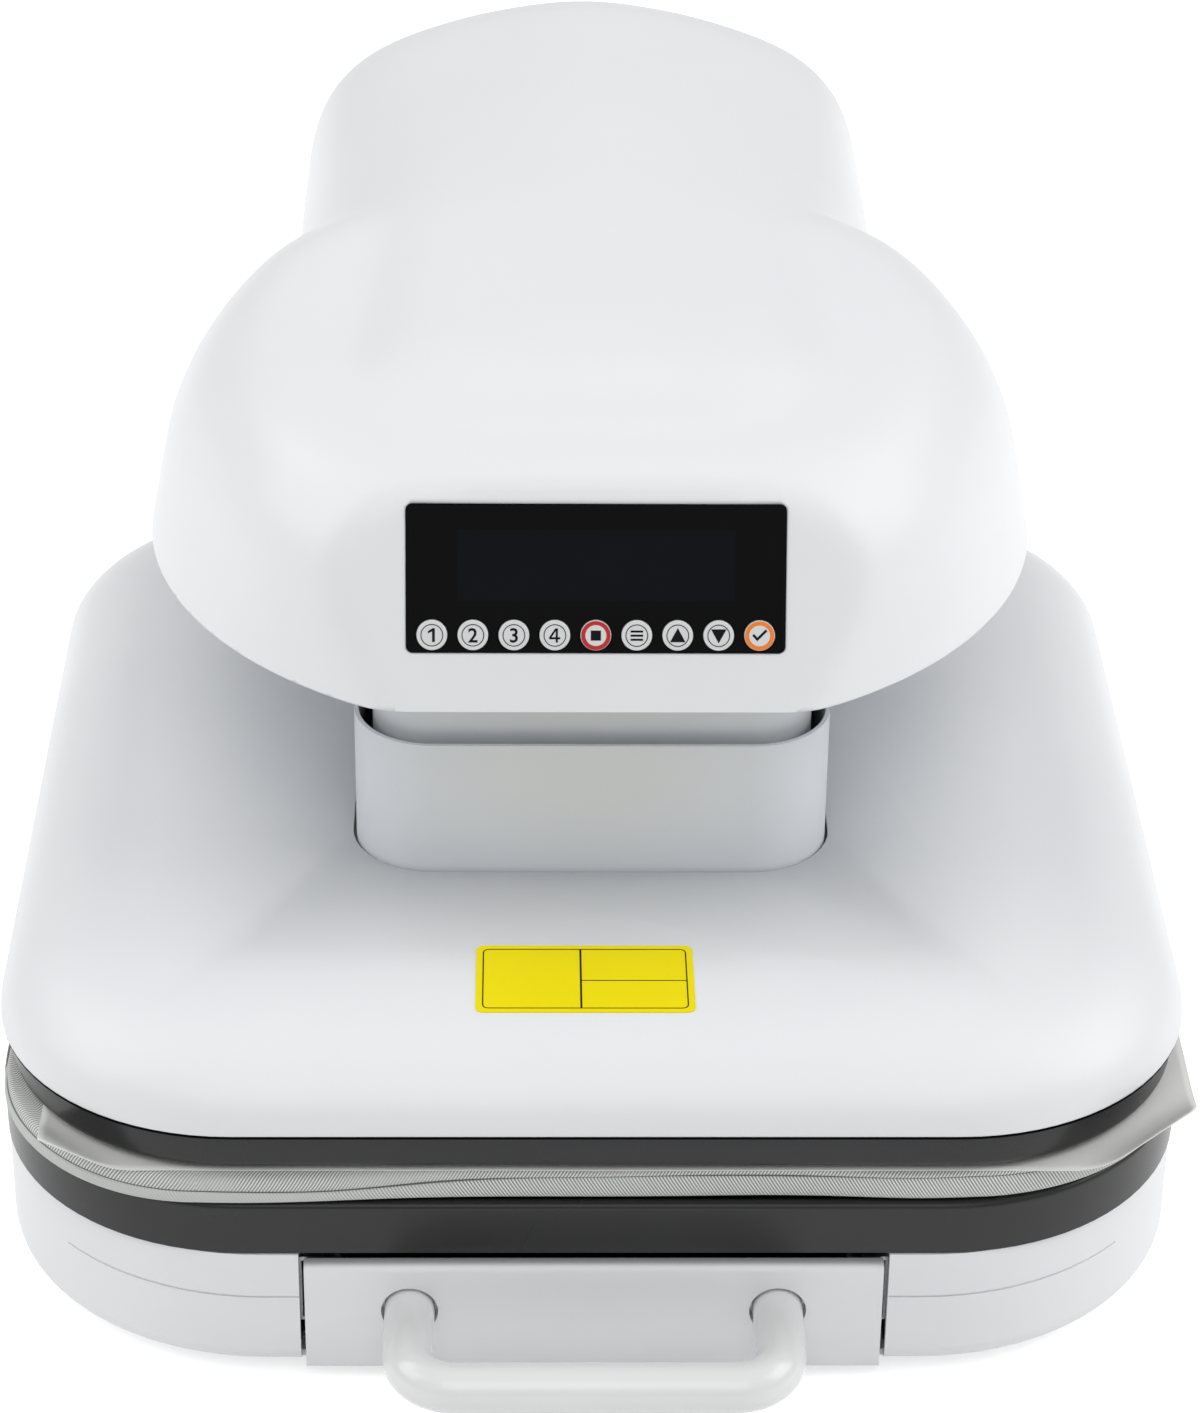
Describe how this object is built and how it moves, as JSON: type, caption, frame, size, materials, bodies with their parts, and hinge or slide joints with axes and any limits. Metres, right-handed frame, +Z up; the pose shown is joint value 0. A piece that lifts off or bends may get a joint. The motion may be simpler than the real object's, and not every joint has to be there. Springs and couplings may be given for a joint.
{
  "type": "automatic heat press",
  "caption": "Automatic heat press with a motor-lifted heated platen under a rounded head, and a padded lower bed on a pull-out drawer with a tube handle.",
  "frame": {"origin": "bottom centre of the object's box, on the surface that the feet stand on", "axes": "+Z up, +Y from the handle towards the column, +X to the right seen from the front"},
  "size_m": [0.413, 0.6284, 0.2985],
  "materials": {
    "white_shell": "satin moulded plastic",
    "white_painted_steel": "smooth powder coat",
    "black_trim": "satin black paint",
    "white_tube": "gloss white paint",
    "plated_steel": "zinc plated",
    "bright_steel": "ground and polished",
    "cast_aluminium": "coated casting",
    "bronze": "turned bronze",
    "element_steel": "heat-tinted steel",
    "fibre_blanket": "ceramic fibre",
    "grey_twill": "heat-proof twill",
    "release_film": "coated glass cloth",
    "silicone_sponge": "closed-cell sponge",
    "black_rubber": "matte",
    "black_glass": "polished black",
    "display_glass": "dark display",
    "button_grey": "printed cap",
    "button_red": "printed cap",
    "button_orange": "printed cap",
    "circuit_board": "solder mask",
    "black_plastic": "moulded",
    "belt_rubber": "toothed belt",
    "yellow_sticker": "printed film"
  },
  "bodies": {
    "root": {"base_housing": "white_shell", "bottom_plate": "plated_steel", "feet": "black_rubber", "frame_side_left": "plated_steel", "frame_side_right": "plated_steel", "bridge_plate": "plated_steel", "frame_screws": "plated_steel", "guide_bushings": "bright_steel", "screw_bearing": "bright_steel", "head_shell": "white_shell", "head_floor": "white_shell", "inner_column": "white_painted_steel", "column_front_cover": "white_shell", "column_rear_cover": "white_shell", "panel_lens": "black_glass", "control_board": "circuit_board", "display_module": "display_glass", "gear_motor": "black_plastic", "drive_belt": "belt_rubber", "power_board": "circuit_board", "power_inlet": "black_plastic", "fan_frame": "black_plastic", "rail_outer": "plated_steel"},
    "platen": {"platen_cover": "white_shell", "platen_band": "black_trim", "heat_plate": "cast_aluminium", "heating_element": "element_steel", "insulation_blanket": "fibre_blanket", "standoffs": "fibre_blanket", "temperature_probe": "bright_steel", "lift_plate": "plated_steel", "sleeve": "white_painted_steel", "guide_rods": "bright_steel", "lift_nut": "bronze", "cover_label": "yellow_sticker"},
    "lead_screw": {"lead_screw": "bright_steel", "screw_pulley": "cast_aluminium"},
    "motor_pulley": {"motor_pulley": "cast_aluminium"},
    "drawer": {"drawer_front": "white_shell", "drawer_handle": "white_tube", "handle_screws": "plated_steel", "drawer_carriage": "plated_steel", "rail_inner": "plated_steel", "lower_tray": "black_trim", "bed_plate": "cast_aluminium", "foam_pad": "silicone_sponge", "pad_cover": "grey_twill", "release_sheet": "release_film"},
    "rail_middle": {"rail_middle": "plated_steel"},
    "power_rocker": {"power_rocker": "black_plastic"},
    "fan_rotor": {"fan_rotor": "black_plastic"},
    "button_one": {"button_one": "button_grey"},
    "button_two": {"button_two": "button_grey"},
    "button_three": {"button_three": "button_grey"},
    "button_four": {"button_four": "button_grey"},
    "button_halt": {"button_halt": "button_red"},
    "button_mode": {"button_mode": "button_grey"},
    "button_up": {"button_up": "button_grey"},
    "button_down": {"button_down": "button_grey"},
    "button_confirm": {"button_confirm": "button_orange"}
  },
  "joints": [
    {"name": "platen_lift", "type": "slide", "parent": "root", "child": "platen", "axis": [0, 0, 1], "range_m": [0, 0.03]},
    {"name": "screw_spin", "type": "hinge", "parent": "root", "child": "lead_screw", "pos_m": [0, -0.05775, 0.236], "axis": [0, 0, 1], "range_deg": [0, 1081]},
    {"name": "motor_spin", "type": "hinge", "parent": "root", "child": "motor_pulley", "pos_m": [0, 0.22725, 0.236], "axis": [0, 0, 1], "range_deg": [0, 1081]},
    {"name": "drawer_slide", "type": "slide", "parent": "root", "child": "drawer", "axis": [0, -1, 0], "range_m": [0, 0.3]},
    {"name": "rail_slide", "type": "slide", "parent": "root", "child": "rail_middle", "axis": [0, -1, 0], "range_m": [0, 0.151]},
    {"name": "power_switch", "type": "hinge", "parent": "root", "child": "power_rocker", "pos_m": [0, 0.30895, 0.114], "axis": [1, 0, 0], "range_deg": [0, 9]},
    {"name": "fan_spin", "type": "hinge", "parent": "root", "child": "fan_rotor", "pos_m": [0, 0.30445, 0.171], "axis": [0, 1, 0], "continuous": true},
    {"name": "button_one_press", "type": "slide", "parent": "root", "child": "button_one", "axis": [0, 0.9354, -0.3535], "range_m": [0, 0.0005], "stiffness_N_per_m": 1000},
    {"name": "button_two_press", "type": "slide", "parent": "root", "child": "button_two", "axis": [0, 0.9354, -0.3535], "range_m": [0, 0.0005], "stiffness_N_per_m": 1000},
    {"name": "button_three_press", "type": "slide", "parent": "root", "child": "button_three", "axis": [0, 0.9354, -0.3535], "range_m": [0, 0.0005], "stiffness_N_per_m": 1000},
    {"name": "button_four_press", "type": "slide", "parent": "root", "child": "button_four", "axis": [0, 0.9354, -0.3535], "range_m": [0, 0.0005], "stiffness_N_per_m": 1000},
    {"name": "button_halt_press", "type": "slide", "parent": "root", "child": "button_halt", "axis": [0, 0.9354, -0.3535], "range_m": [0, 0.0005], "stiffness_N_per_m": 1000},
    {"name": "button_mode_press", "type": "slide", "parent": "root", "child": "button_mode", "axis": [0, 0.9354, -0.3535], "range_m": [0, 0.0005], "stiffness_N_per_m": 1000},
    {"name": "button_up_press", "type": "slide", "parent": "root", "child": "button_up", "axis": [0, 0.9354, -0.3535], "range_m": [0, 0.0005], "stiffness_N_per_m": 1000},
    {"name": "button_down_press", "type": "slide", "parent": "root", "child": "button_down", "axis": [0, 0.9354, -0.3535], "range_m": [0, 0.0005], "stiffness_N_per_m": 1000},
    {"name": "button_confirm_press", "type": "slide", "parent": "root", "child": "button_confirm", "axis": [0, 0.9354, -0.3535], "range_m": [0, 0.0005], "stiffness_N_per_m": 1000}
  ],
  "couplings": [
    {"joint": "screw_spin", "follows": "platen_lift", "rad_per_m": 628.32},
    {"joint": "motor_spin", "follows": "platen_lift", "rad_per_m": 628.32},
    {"joint": "rail_slide", "follows": "drawer_slide", "ratio": 0.5}
  ]
}
